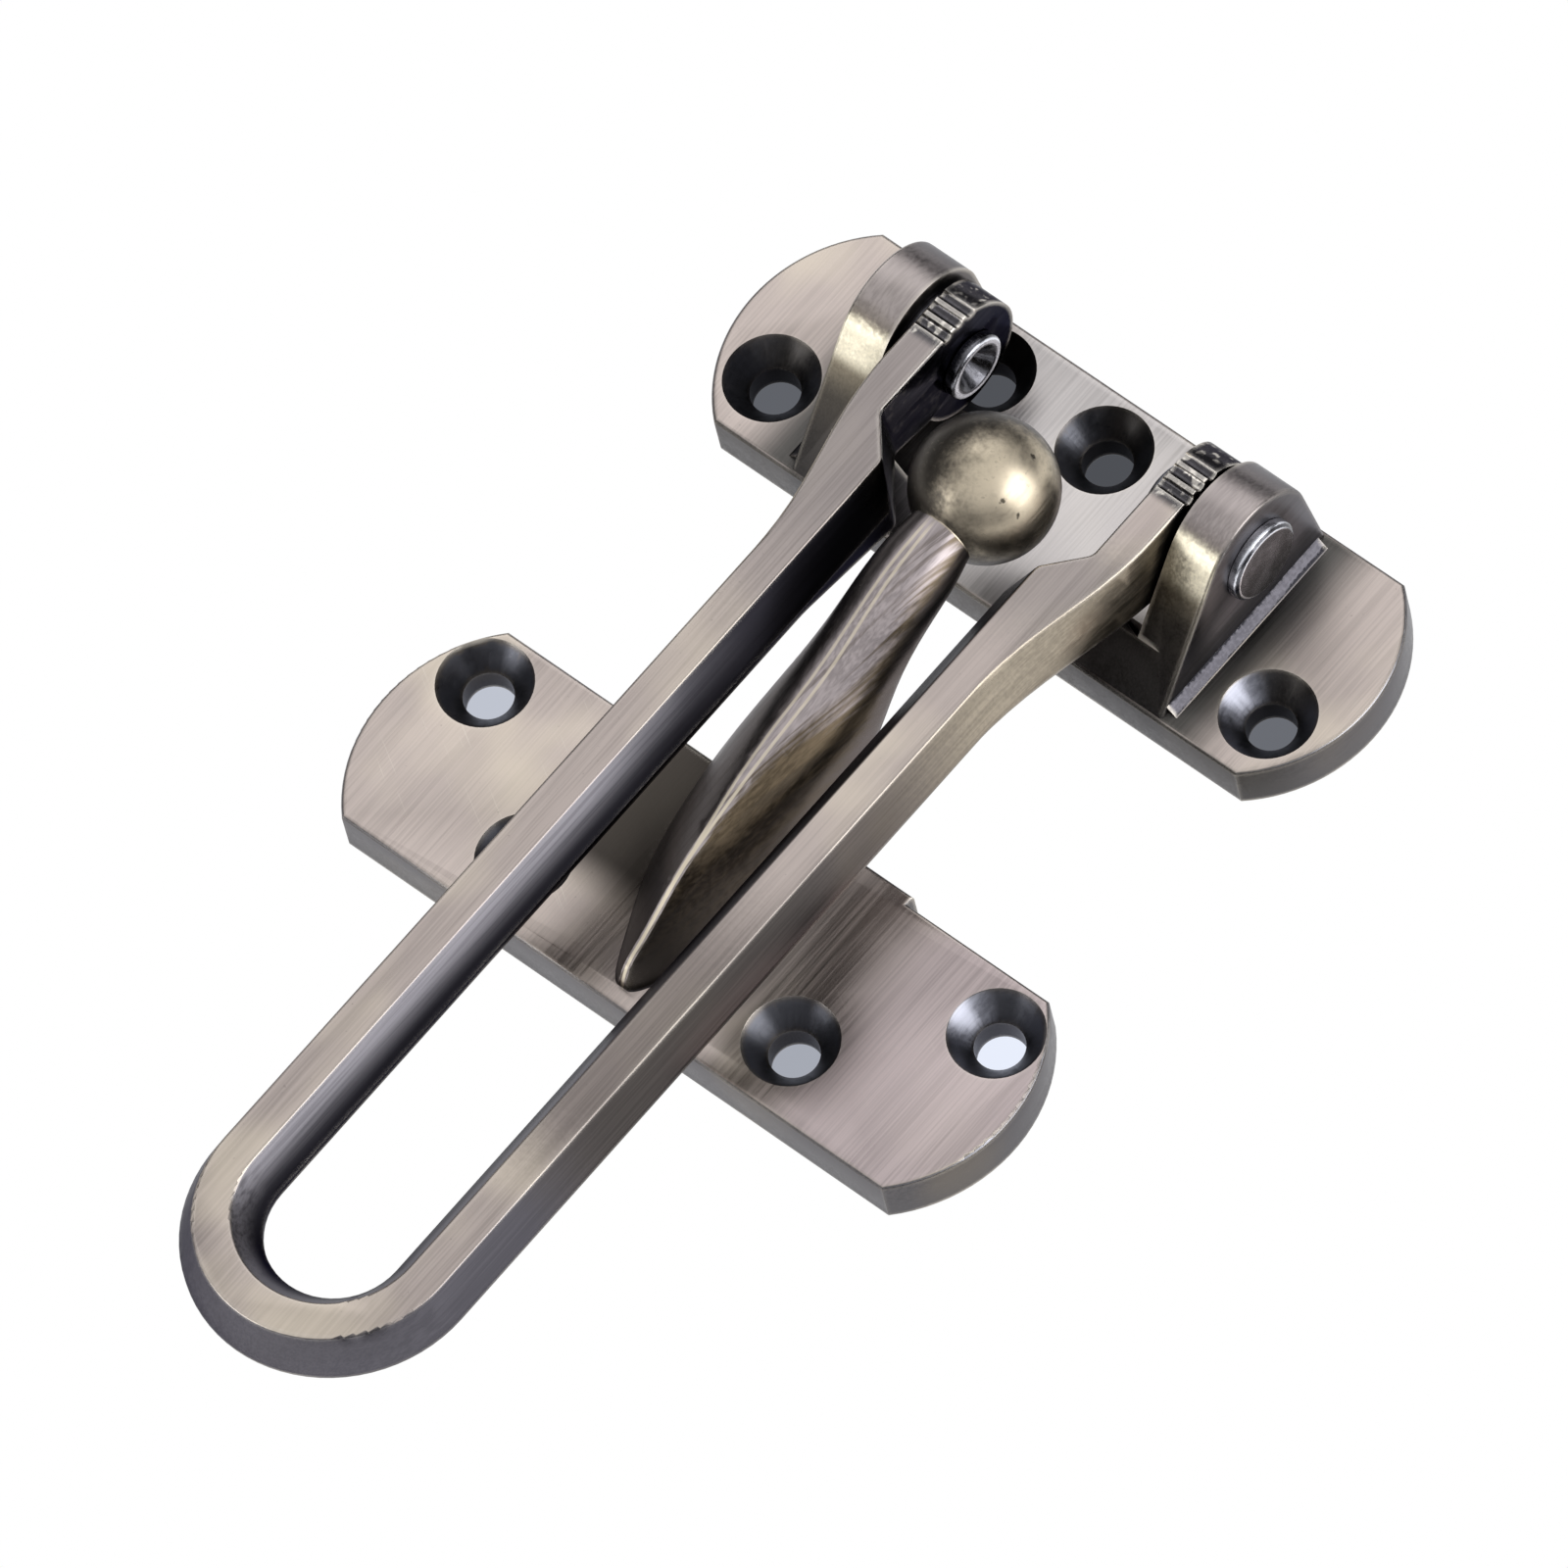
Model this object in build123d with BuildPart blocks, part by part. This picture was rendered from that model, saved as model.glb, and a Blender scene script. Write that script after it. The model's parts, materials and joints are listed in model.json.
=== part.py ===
"""Door guard: a U-shaped bar hinged on a bracket, and a ball stud that the bar's slot slides along.

Lengths are in millimetres. The bracket's plate lies on z = 0 with its centre at the origin, its
long sides run along X, and the bar reaches out along -Y, over the stud's plate.
"""
import os
from math import asin, atan2, hypot, tan

from build123d import *

# Screw holes, alike in both plates
screw_hole_radius = 2.6
countersink_radius = 5.0
countersink_angle = 82.0

# Both plates
plate_thickness = 5.6
plate_edge_round = 0.5
plate_gap = 30.1

# Bracket plate and its five screw holes
bracket_length = 79.4
bracket_width = 26.2
bracket_end_bulge = 6.1
bracket_end_hole_inset = 7.7
bracket_end_hole_from_front = 7.1
bracket_row_hole_spacing = 15.2
bracket_row_hole_count = 3
bracket_row_hole_from_back = 5.9

# Hinge line, across the bracket
axis_from_back = 9.4
axis_above_plate = 9.0

# Bracket ears, and the low web that ties each ear to the plate's front
ear_gap = 36.8
ear_thickness = 5.5
ear_top_radius = 7.6
ear_foot_margin = 0.4
ear_edge_round = 0.4
foot_bevel = 1.1
foot_bevel_inset = 1.0
web_height = 5.1
web_crest = 1.4
web_reach_top = 2.9
web_reach_bottom = 7.4

# Rivets, one through each ear and knuckle
rivet_radius = 2.5
rivet_head_radius = 4.5
rivet_head_height = 1.2
rivet_head_bevel = 0.4
rivet_tail_radius = 3.7
rivet_tail_height = 1.25
rivet_tail_round = 0.45
rivet_dish_radius = 2.7
rivet_dish_floor_radius = 1.2
rivet_dish_depth = 2.2
rivet_side_clearance = 0.05
ear_bore_clearance = 0.02
knuckle_bore_clearance = 0.06

# Friction washers, between ear and knuckle
washer_thickness = 0.5
washer_radius = 5.5
washer_bore_clearance = 0.1
washer_side_clearance = 0.08

# Knuckles of the bar, with three notches across the top of each
knuckle_radius = 6.8
knuckle_width = 4.6
notch_count = 3
notch_pitch_angle = 15.0
notch_start_angle = 72.0
notch_width = 1.3
notch_depth = 0.5

# Bar: flat top, sloping sides, and a short upright skirt at the bottom
slot_width = 20.1
arm_top_width = 3.8
inner_slope_run = 2.6
outer_slope_run = 1.8
slope_height = 4.0
skirt_height = 0.9
top_edge_round = 0.4
bar_reach = 111.2
knuckle_top_inset = 0.4

# Where the arms widen to the knuckles, and where the slot opens to the ball's pocket
flare_start_reach = 30.5
flare_end_reach = 6.5
pocket_reach = 11.7
pocket_ramp = 4.0
pocket_bevel = 0.4
pocket_corner_round = 1.5
root_depth = 9.4
root_reach = 6.7
root_taper_reach = 31.7
root_round = 12.0

# Stud plate and its four screw holes
stud_length = 80.5
stud_width = 25.6
stud_end_bulge = 5.4
stud_end_hole_inset = 7.25
stud_end_hole_from_back = 5.8
stud_inner_hole_spacing = 34.4
stud_inner_hole_from_front = 7.2
stud_pad_width = 33.4
stud_pad_reach = 1.0

# Ball and neck, measured from the stud plate's centre and its top
neck_under_bow = 0.05
ball_radius = 7.6
ball_reach = 47.6
ball_above_plate = 15.2

# How far a cut runs past a face, and how near two places count as one
past_face = 1.0
same_place = 0.01

# Worked-out places
bracket_end_hole_spacing = bracket_length - 2 * bracket_end_hole_inset
bracket_end_hole_y = bracket_end_hole_from_front - bracket_width / 2
bracket_row_hole_y = bracket_width / 2 - bracket_row_hole_from_back
stud_end_hole_spacing = stud_length - 2 * stud_end_hole_inset
stud_end_hole_y = stud_width / 2 - stud_end_hole_from_back
stud_inner_hole_y = stud_inner_hole_from_front - stud_width / 2
axis_y = bracket_width / 2 - axis_from_back
axis_z = plate_thickness + axis_above_plate
ear_inner_x = ear_gap / 2
ear_outer_x = ear_inner_x + ear_thickness
washer_gap = washer_thickness + washer_side_clearance
knuckle_outer_x = ear_inner_x - washer_gap
knuckle_inner_x = knuckle_outer_x - knuckle_width
bar_top_z = axis_z + knuckle_radius
bar_skirt_z = bar_top_z - slope_height
bar_bottom_z = bar_skirt_z - skirt_height
loop_y = axis_y - bar_reach
bar_back_y = axis_y + knuckle_radius + past_face
slot_half = slot_width / 2
stud_y = -(bracket_width / 2 + plate_gap + stud_width / 2)
ball_y = stud_y + ball_reach
ball_z = plate_thickness + ball_above_plate
notch_cut_radius = (notch_width**2 / 4 + notch_depth**2) / (2 * notch_depth)
notch_centre_radius = knuckle_radius - notch_depth + notch_cut_radius
screw_hole = dict(
    radius=screw_hole_radius,
    counter_sink_radius=countersink_radius,
    counter_sink_angle=countersink_angle,
)
hinge_line = Location((0, axis_y, axis_z), (0, 90, 0))


def plate_outline(length, width, bulge):
    """A plate seen from above: two straight long sides and two ends that are shallow arcs."""
    side_x = length / 2 - bulge
    with BuildSketch() as outline:
        with BuildLine():
            Line((-side_x, -width / 2), (side_x, -width / 2))
            ThreePointArc((side_x, -width / 2), (length / 2, 0), (side_x, width / 2))
            Line((side_x, width / 2), (-side_x, width / 2))
            ThreePointArc((-side_x, width / 2), (-length / 2, 0), (-side_x, -width / 2))
        make_face()
    return outline.sketch


def bar_outline(arm_half, root_half):
    """The outside of the bar at one level: round end, straight arms, and a flare to the knuckles."""
    flare_start = axis_y - flare_start_reach
    flare_end = axis_y - flare_end_reach
    straight_down = ((0, -1), (0, -1))
    straight_up = ((0, 1), (0, 1))
    with BuildSketch() as outline:
        with BuildLine():
            Line((root_half, bar_back_y), (root_half, flare_end))
            Spline((root_half, flare_end), (arm_half, flare_start), tangents=straight_down)
            Line((arm_half, flare_start), (arm_half, loop_y))
            ThreePointArc((arm_half, loop_y), (0, loop_y - arm_half), (-arm_half, loop_y))
            Line((-arm_half, loop_y), (-arm_half, flare_start))
            Spline((-arm_half, flare_start), (-root_half, flare_end), tangents=straight_up)
            Line((-root_half, flare_end), (-root_half, bar_back_y))
            Line((-root_half, bar_back_y), (root_half, bar_back_y))
        make_face()
    return outline.sketch


def slot_outline(slot_half_here, pocket_half, ramp):
    """The slot at one level: round end, straight run, and a ramp out to the pocket for the ball."""
    pocket_y = axis_y - pocket_reach
    ramp_y = pocket_y - ramp
    open_y = bar_back_y + past_face
    with BuildSketch() as outline:
        with BuildLine():
            Polyline(
                (slot_half_here, loop_y),
                (slot_half_here, ramp_y),
                (pocket_half, pocket_y),
                (pocket_half, open_y),
                (-pocket_half, open_y),
                (-pocket_half, pocket_y),
                (-slot_half_here, ramp_y),
                (-slot_half_here, loop_y),
            )
            ThreePointArc(
                (-slot_half_here, loop_y), (0, loop_y - slot_half_here), (slot_half_here, loop_y)
            )
        make_face()
        corners = outline.vertices().filter_by_position(Axis.Y, ramp_y - same_place, pocket_y + same_place)
        fillet(corners, pocket_corner_round)
    return outline.sketch


def neck_section(reach, crest, mid, low, bottom):
    """One cut across the stud's neck, a narrow facet on top and two curved flanks.

    Each pair is a half width and a height above the plate: the facet's corner, a point midway down
    the flank, the flank's widest point, and the corner of the underside.
    """
    points = [(x, plate_thickness + height) for x, height in (crest, mid, low, bottom)]
    chord_middle = [(a + b) / 2 for a, b in zip(points[2], points[3])]
    bow_out = neck_under_bow * (points[2][0] - points[3][0])
    bow_down = neck_under_bow * (points[2][1] - points[3][1])
    under = (chord_middle[0] + bow_out, chord_middle[1] - bow_down)
    right = [*points[:3], under, points[3]]
    left = [(-x, z) for x, z in right]
    plane = Plane(origin=(0, stud_y + reach, 0), x_dir=(1, 0, 0), z_dir=(0, -1, 0))
    with BuildSketch(plane) as section:
        with BuildLine():
            Line(left[0], right[0])
            ThreePointArc(*right[0:3])
            ThreePointArc(*right[2:5])
            Line(right[4], left[4])
            ThreePointArc(left[4], left[3], left[2])
            ThreePointArc(left[2], left[1], left[0])
        make_face()
    return section.sketch


# Hinge bracket: plate, two ears for the rivets, and the low webs in front of them
foot_front_y = ear_foot_margin - bracket_width / 2
foot_back_y = bracket_width / 2 - ear_foot_margin
to_axis = (axis_y - foot_front_y, axis_above_plate)
front_slope = atan2(to_axis[1], to_axis[0]) + asin(ear_top_radius / hypot(*to_axis))
web_top_z = plate_thickness + web_height
web_front_y = foot_front_y + web_height / tan(front_slope)

with BuildPart() as hinge_bracket:
    with BuildSketch():
        add(plate_outline(bracket_length, bracket_width, bracket_end_bulge))
    extrude(amount=plate_thickness)
    fillet(hinge_bracket.faces().sort_by(Axis.Z)[-1].edges(), plate_edge_round)
    with Locations(Plane.XY.offset(plate_thickness)):
        with Locations((0, bracket_end_hole_y)):
            with GridLocations(bracket_end_hole_spacing, 0, 2, 1):
                CounterSinkHole(**screw_hole)
        with Locations((0, bracket_row_hole_y)):
            with GridLocations(bracket_row_hole_spacing, 0, bracket_row_hole_count, 1):
                CounterSinkHole(**screw_hole)
    with BuildSketch(Plane.YZ):
        with BuildLine():
            Polyline(
                (foot_front_y, plate_thickness - plate_edge_round),
                (foot_front_y, plate_thickness),
                (web_front_y, web_top_z),
                (web_front_y + web_crest, web_top_z),
                (web_front_y + web_crest, plate_thickness - plate_edge_round),
                close=True,
            )
        make_face()
    extrude(amount=ear_inner_x + ear_thickness / 2, both=True)
    with BuildSketch(Plane.XZ.offset(-foot_back_y)):
        with BuildLine():
            Polyline(
                (ear_inner_x - web_reach_bottom, plate_thickness),
                (ear_inner_x - web_reach_top, web_top_z + past_face),
                (web_reach_top - ear_inner_x, web_top_z + past_face),
                (web_reach_bottom - ear_inner_x, plate_thickness),
                close=True,
            )
        make_face()
    extrude(amount=bracket_width, mode=Mode.SUBTRACT)
    for ear_x in (ear_inner_x, -ear_outer_x):
        with BuildSketch(Plane.YZ.offset(ear_x)):
            with Locations((axis_y, axis_z)):
                Circle(ear_top_radius)
            with Locations(((foot_front_y + foot_back_y) / 2, plate_thickness - plate_edge_round / 2)):
                Rectangle(foot_back_y - foot_front_y, plate_edge_round)
            make_hull()
        extrude(amount=ear_thickness)
    for end in (-1, 1):
        outer_face = hinge_bracket.faces().filter_by(Plane.YZ).sort_by(Axis.X)[-1 if end > 0 else 0]
        rim = outer_face.edges().filter_by(lambda edge: edge.center().Z > plate_thickness + foot_bevel)
        fillet(rim, ear_edge_round)
    for side in (-1, 1):
        with BuildSketch(Plane.XZ.offset(foot_bevel_inset - foot_back_y)):
            with BuildLine():
                Polyline(
                    (side * ear_outer_x, plate_thickness),
                    (side * (ear_outer_x + foot_bevel), plate_thickness),
                    (side * ear_outer_x, plate_thickness + foot_bevel),
                    close=True,
                )
            make_face()
        extrude(amount=foot_back_y - foot_front_y - 2 * foot_bevel_inset)
    with Locations(hinge_line):
        Hole(rivet_radius + ear_bore_clearance)

# Swing bar: one casting, with the slot, the ball's pocket and both knuckles
arm_half_top = slot_half + arm_top_width
arm_half_bottom = arm_half_top + outer_slope_run
slot_half_bottom = slot_half - inner_slope_run
pocket_half_top = knuckle_inner_x + pocket_bevel
pocket_half_bottom = knuckle_inner_x
ramp_bottom = pocket_ramp * (pocket_half_bottom - slot_half_bottom) / (pocket_half_top - slot_half)
skirt_depth = bar_skirt_z - axis_z + knuckle_radius + past_face

with BuildPart() as swing_bar:
    with BuildSketch(Plane.XY.offset(bar_skirt_z)):
        add(bar_outline(arm_half_bottom, knuckle_outer_x))
    with BuildSketch(Plane.XY.offset(bar_top_z)):
        add(bar_outline(arm_half_top, knuckle_outer_x - knuckle_top_inset))
    loft()
    with BuildSketch(Plane.XY.offset(bar_skirt_z)):
        add(bar_outline(arm_half_bottom, knuckle_outer_x))
    extrude(amount=-skirt_depth)
    with BuildSketch(Plane.XY.offset(bar_skirt_z)):
        add(slot_outline(slot_half_bottom, pocket_half_bottom, ramp_bottom))
    with BuildSketch(Plane.XY.offset(bar_top_z)):
        add(slot_outline(slot_half, pocket_half_top, pocket_ramp))
    loft(mode=Mode.SUBTRACT)
    with BuildSketch(Plane.XY.offset(bar_skirt_z)):
        add(slot_outline(slot_half_bottom, pocket_half_bottom, ramp_bottom))
    extrude(amount=-skirt_depth, mode=Mode.SUBTRACT)
    top_rim = swing_bar.faces().sort_by(Axis.Z)[-1].edges()
    fillet(top_rim.filter_by(lambda edge: edge.center().Y < bar_back_y - same_place), top_edge_round)
    with BuildSketch(Plane.YZ) as side_view:
        with BuildLine():
            Polyline(
                (loop_y - arm_half_bottom - past_face, bar_bottom_z),
                (axis_y - root_taper_reach, bar_bottom_z),
                (axis_y - root_reach, bar_top_z - root_depth),
                (axis_y, bar_top_z - root_depth),
                (axis_y, bar_top_z),
                (loop_y - arm_half_bottom - past_face, bar_top_z),
                close=True,
            )
        make_face()
        taper_place = (axis_y - root_taper_reach, bar_bottom_z, 0)
        taper_corner = side_view.vertices().sort_by_distance(taper_place)[0]
        fillet(taper_corner, root_round)
        with Locations((axis_y, axis_z)):
            Circle(knuckle_radius)
    extrude(amount=knuckle_outer_x + past_face, both=True, mode=Mode.INTERSECT)
    with BuildSketch(Plane.YZ):
        with Locations((axis_y, axis_z)):
            notch_sweep = notch_count * notch_pitch_angle
            with PolarLocations(notch_centre_radius, notch_count, notch_start_angle, notch_sweep):
                Circle(notch_cut_radius)
    extrude(amount=knuckle_outer_x + past_face, both=True, mode=Mode.SUBTRACT)
    with Locations(hinge_line):
        Hole(rivet_radius + knuckle_bore_clearance)

# Rivets: flat head outside the ear, shank through ear and knuckle, hollow spread end inside
head_end_x = ear_outer_x + rivet_head_height
tail_face_x = knuckle_inner_x - rivet_side_clearance
tail_end_x = tail_face_x - rivet_tail_height
rivets = []
for side in (1, -1):
    rivet_plane = Plane(origin=(0, axis_y, axis_z), x_dir=(side, 0, 0), z_dir=(0, -side, 0))
    with BuildPart() as rivet:
        with BuildSketch(rivet_plane) as rivet_half:
            with BuildLine():
                Polyline(
                    (head_end_x, 0),
                    (head_end_x, rivet_head_radius - rivet_head_bevel),
                    (head_end_x - rivet_head_bevel, rivet_head_radius),
                    (ear_outer_x, rivet_head_radius),
                    (ear_outer_x, rivet_radius),
                    (tail_face_x, rivet_radius),
                    (tail_face_x, rivet_tail_radius),
                    (tail_end_x, rivet_tail_radius),
                    (tail_end_x, rivet_dish_radius),
                    (tail_end_x + rivet_dish_depth, rivet_dish_floor_radius),
                    (tail_end_x + rivet_dish_depth, 0),
                    close=True,
                )
            make_face()
            rim_corner = rivet_half.vertices().sort_by_distance((tail_end_x, rivet_tail_radius, 0))[0]
            fillet(rim_corner, rivet_tail_round)
        revolve(axis=Axis((0, axis_y, axis_z), (1, 0, 0)))
    rivets.append(rivet.part)

# Friction washers, flat rings against the inner faces of the ears
washers = []
for side in (1, -1):
    with BuildPart() as washer:
        with BuildSketch(Plane.YZ.offset(side * ear_inner_x)):
            with Locations((axis_y, axis_z)):
                Circle(washer_radius)
                Circle(rivet_radius + washer_bore_clearance, mode=Mode.SUBTRACT)
        extrude(amount=-side * washer_thickness)
    washers.append(washer.part)

# Stud plate: plate, neck that rises from it past the back edge, and ball
# Each cut's reach, then the half width and height of its ridge, flank, widest point and underside
neck_cuts = (
    (-10.9, (0.45, 0.3), (0.9, -0.2), (1.3, -0.8), (1.1, -3.0)),
    (-7.6, (0.4, 3.9), (1.9, 1.8), (3.2, -0.4), (3.0, -3.0)),
    (-4.5, (0.4, 5.7), (2.6, 3.0), (4.6, -0.3), (4.4, -3.0)),
    (0.2, (0.4, 8.4), (3.7, 4.9), (6.5, -0.2), (6.2, -3.2)),
    (4.2, (0.5, 9.7), (4.5, 6.0), (7.5, 0.0), (7.0, -3.6)),
    (10.0, (0.8, 11.2), (5.2, 7.4), (7.7, 1.2), (6.4, -4.0)),
    (16.0, (1.0, 12.3), (5.0, 9.3), (6.9, 4.2), (3.6, -1.4)),
    (23.5, (1.1, 13.7), (4.3, 11.6), (5.65, 7.9), (2.4, 2.6)),
    (28.0, (1.0, 15.5), (3.7, 13.7), (4.85, 10.6), (2.2, 6.1)),
    (33.7, (0.9, 17.7), (3.4, 16.1), (4.5, 13.2), (2.0, 9.0)),
    (39.4, (0.7, 18.7), (3.0, 17.4), (3.97, 14.7), (1.8, 10.9)),
    (44.0, (0.6, 18.9), (2.8, 17.6), (3.8, 15.0), (1.7, 11.4)),
)

with BuildPart() as stud_plate:
    with BuildSketch(Plane.XY):
        with Locations((0, stud_y)):
            add(plate_outline(stud_length, stud_width, stud_end_bulge))
            with Locations((0, (stud_width + stud_pad_reach) / 2)):
                Rectangle(stud_pad_width, stud_pad_reach)
    extrude(amount=plate_thickness)
    fillet(stud_plate.faces().sort_by(Axis.Z)[-1].edges(), plate_edge_round)
    with Locations(Location((0, stud_y, plate_thickness))):
        with Locations((0, stud_end_hole_y)):
            with GridLocations(stud_end_hole_spacing, 0, 2, 1):
                CounterSinkHole(**screw_hole)
        with Locations((0, stud_inner_hole_y)):
            with GridLocations(stud_inner_hole_spacing, 0, 2, 1):
                CounterSinkHole(**screw_hole)
    for cut in neck_cuts:
        add(neck_section(*cut))
    loft()
    with Locations((0, ball_y, ball_z)):
        Sphere(ball_radius)

pieces = {
    "hinge_bracket": hinge_bracket.part,
    "swing_bar": swing_bar.part,
    "right_hinge_rivet": rivets[0],
    "left_hinge_rivet": rivets[1],
    "right_friction_washer": washers[0],
    "left_friction_washer": washers[1],
    "stud_plate": stud_plate.part,
}

os.makedirs("parts", exist_ok=True)
for name, piece in pieces.items():
    piece.label = name
    export_step(piece, f"parts/{name}.step")
    print(name, round(piece.volume), len(piece.solids()))
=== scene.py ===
"""Door guard in a light studio: antique bronze castings and steel rivets."""
from __future__ import annotations

import json
import logging
import math
from collections.abc import Sequence
from dataclasses import dataclass, field
from enum import Enum
from typing import Any

import bpy
from mathutils import Matrix, Vector

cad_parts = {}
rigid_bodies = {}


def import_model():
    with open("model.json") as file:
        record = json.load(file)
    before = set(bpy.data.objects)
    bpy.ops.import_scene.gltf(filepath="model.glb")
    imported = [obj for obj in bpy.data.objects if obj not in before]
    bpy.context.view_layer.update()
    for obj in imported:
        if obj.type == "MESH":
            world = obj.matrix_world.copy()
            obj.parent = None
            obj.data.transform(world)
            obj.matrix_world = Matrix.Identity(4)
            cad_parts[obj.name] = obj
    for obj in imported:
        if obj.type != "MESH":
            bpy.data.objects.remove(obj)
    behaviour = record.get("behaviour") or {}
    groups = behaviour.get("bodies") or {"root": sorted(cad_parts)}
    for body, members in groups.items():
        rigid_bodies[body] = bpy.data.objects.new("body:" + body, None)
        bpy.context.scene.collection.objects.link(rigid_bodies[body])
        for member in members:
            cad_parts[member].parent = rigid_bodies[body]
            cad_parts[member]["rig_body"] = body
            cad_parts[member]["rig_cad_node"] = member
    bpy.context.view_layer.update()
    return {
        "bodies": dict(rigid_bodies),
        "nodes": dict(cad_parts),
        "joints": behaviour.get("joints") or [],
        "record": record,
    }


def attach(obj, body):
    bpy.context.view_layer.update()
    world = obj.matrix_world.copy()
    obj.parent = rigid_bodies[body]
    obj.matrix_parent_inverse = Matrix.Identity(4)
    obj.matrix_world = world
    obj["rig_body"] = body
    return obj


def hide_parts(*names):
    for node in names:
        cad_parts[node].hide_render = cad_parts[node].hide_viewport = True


LOG = logging.getLogger("door_guard")
MM = 0.001

Colour = tuple[float, float, float]
Place = tuple[float, float, float]
Span = tuple[float, float]

WHITE: Colour = (1.0, 1.0, 1.0)


def scaled(colour: Colour, factor: float) -> Colour:
    """Returns a lighter or darker colour."""
    return (colour[0] * factor, colour[1] * factor, colour[2] * factor)


class Body(Enum):
    """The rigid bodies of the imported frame."""

    PLATES = "fixed_plates"
    BAR = "bar"


class Side(Enum):
    """The hinge's two ends."""

    LEFT = "left"
    RIGHT = "right"


class Wire:
    """One socket's output, which plain Python arithmetic turns into Math nodes."""

    def __init__(self, bench: Bench, socket: bpy.types.NodeSocket) -> None:
        """Holds the socket and the bench it was made on."""
        self.bench = bench
        self.socket = socket

    def __add__(self, other: Wire | float) -> Wire:
        """Adds a value or a wire."""
        return self.bench.maths("ADD", self, other)

    def __radd__(self, other: float) -> Wire:
        """Adds the wire to a value."""
        return self.bench.maths("ADD", other, self)

    def __sub__(self, other: Wire | float) -> Wire:
        """Takes a value or a wire away."""
        return self.bench.maths("SUBTRACT", self, other)

    def __rsub__(self, other: float) -> Wire:
        """Takes the wire from a value."""
        return self.bench.maths("SUBTRACT", other, self)

    def __mul__(self, other: Wire | float) -> Wire:
        """Multiplies by a value or a wire."""
        return self.bench.maths("MULTIPLY", self, other)

    def __rmul__(self, other: float) -> Wire:
        """Multiplies a value by the wire."""
        return self.bench.maths("MULTIPLY", other, self)


class Bench:
    """Lays the nodes of one material or world."""

    def __init__(self, tree: bpy.types.NodeTree) -> None:
        """Takes the tree and clears it."""
        self.tree = tree
        tree.nodes.clear()

    def node(
        self,
        kind: str,
        settings: dict[str, Any] | None = None,
        inputs: dict[str | int, Any] | None = None,
        output: str | int = 0,
    ) -> Wire:
        """Makes any node.

        Args:
            kind: Blender's name of the node's type.
            settings: The node's settings; "stops" holds a ramp's places and colours.
            inputs: Values or wires for the node's sockets.
            output: The socket to hand back.

        Returns:
            The wire from that output.
        """
        made = self.tree.nodes.new(kind)
        for key, value in (settings or {}).items():
            if key == "stops":
                self.lay_stops(made.color_ramp, value)
            else:
                setattr(made, key, value)
        for key, value in (inputs or {}).items():
            if isinstance(value, Wire):
                self.tree.links.new(value.socket, made.inputs[key])
            else:
                made.inputs[key].default_value = value
        if not made.outputs:
            return Wire(self, made.inputs[0])
        return Wire(self, made.outputs[output])

    @staticmethod
    def lay_stops(ramp: bpy.types.ColorRamp, stops: Sequence[tuple[float, Colour]]) -> None:
        """Gives a colour ramp its stops.

        Args:
            ramp: The ramp.
            stops: Pairs of a place from 0 to 1 and a colour.
        """
        while len(ramp.elements) < len(stops):
            ramp.elements.new(1.0)
        for element, (place, colour) in zip(ramp.elements, stops):
            element.position = place
            element.color = (*colour, 1.0)

    def maths(self, operation: str, first: Wire | float, second: Wire | float) -> Wire:
        """Makes one Math node of two inputs."""
        return self.node("ShaderNodeMath", {"operation": operation}, {0: first, 1: second})

    def ramp(
        self, value: Wire, low: float, high: float, start: float = 0.0, end: float = 1.0
    ) -> Wire:
        """Maps a value smoothly.

        Args:
            value: The wire to map.
            low: Where the change begins.
            high: Where the change ends.
            start: What comes out below low.
            end: What comes out above high.

        Returns:
            The mapped wire.
        """
        settings = {"interpolation_type": "SMOOTHSTEP"}
        inputs = {0: value, 1: low, 2: high, 3: start, 4: end}
        return self.node("ShaderNodeMapRange", settings, inputs)

    def mix(self, factor: Wire | float, under: Wire | Colour, over: Wire | Colour) -> Wire:
        """Mixes two colours. A Mix node's colour sockets are inputs 6 and 7 and output 2.

        Args:
            factor: How much of the second colour shows.
            under: The first colour.
            over: The second colour.

        Returns:
            The mixed colour.
        """
        under = under if isinstance(under, Wire) else (*under, 1.0)
        over = over if isinstance(over, Wire) else (*over, 1.0)
        settings = {"data_type": "RGBA", "clamp_factor": True}
        return self.node("ShaderNodeMix", settings, {0: factor, 6: under, 7: over}, output=2)

    def noise(
        self, place: Wire, stretch: Place, detail: float, shift: float, turn: float = 0.0
    ) -> Wire:
        """Makes a noise that is stretched along one direction.

        Args:
            place: Object coordinates in millimetres.
            stretch: Waves per millimetre along X, Y and Z.
            detail: Octaves of the noise.
            shift: Moves the pattern, so that no two are alike.
            turn: Turns the pattern about Z, in degrees.

        Returns:
            A value round one half.
        """
        if turn:
            inputs = {"Vector": place, "Rotation": (0.0, 0.0, math.radians(turn))}
            place = self.node("ShaderNodeMapping", {"vector_type": "POINT"}, inputs)
        moved = (shift, shift * 0.37, shift * 0.71)
        inputs = {"Vector": place, "Location": moved, "Scale": stretch}
        mapped = self.node("ShaderNodeMapping", {"vector_type": "POINT"}, inputs)
        inputs = {"Vector": mapped, "Scale": 1.0, "Detail": detail}
        return self.node("ShaderNodeTexNoise", None, inputs)

    def dot(self, vector: Wire, direction: Place) -> Wire:
        """Returns a vector's share along a direction of any length."""
        length = math.sqrt(sum(c * c for c in direction))
        settings = {"operation": "DOT_PRODUCT"}
        inputs = {0: vector, 1: tuple(c / length for c in direction)}
        return self.node("ShaderNodeVectorMath", settings, inputs, output="Value")

    def distance(self, place: Wire, spot: Place) -> Wire:
        """Returns how far a place is from a spot."""
        settings = {"operation": "DISTANCE"}
        return self.node("ShaderNodeVectorMath", settings, {0: place, 1: spot}, output="Value")

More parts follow.
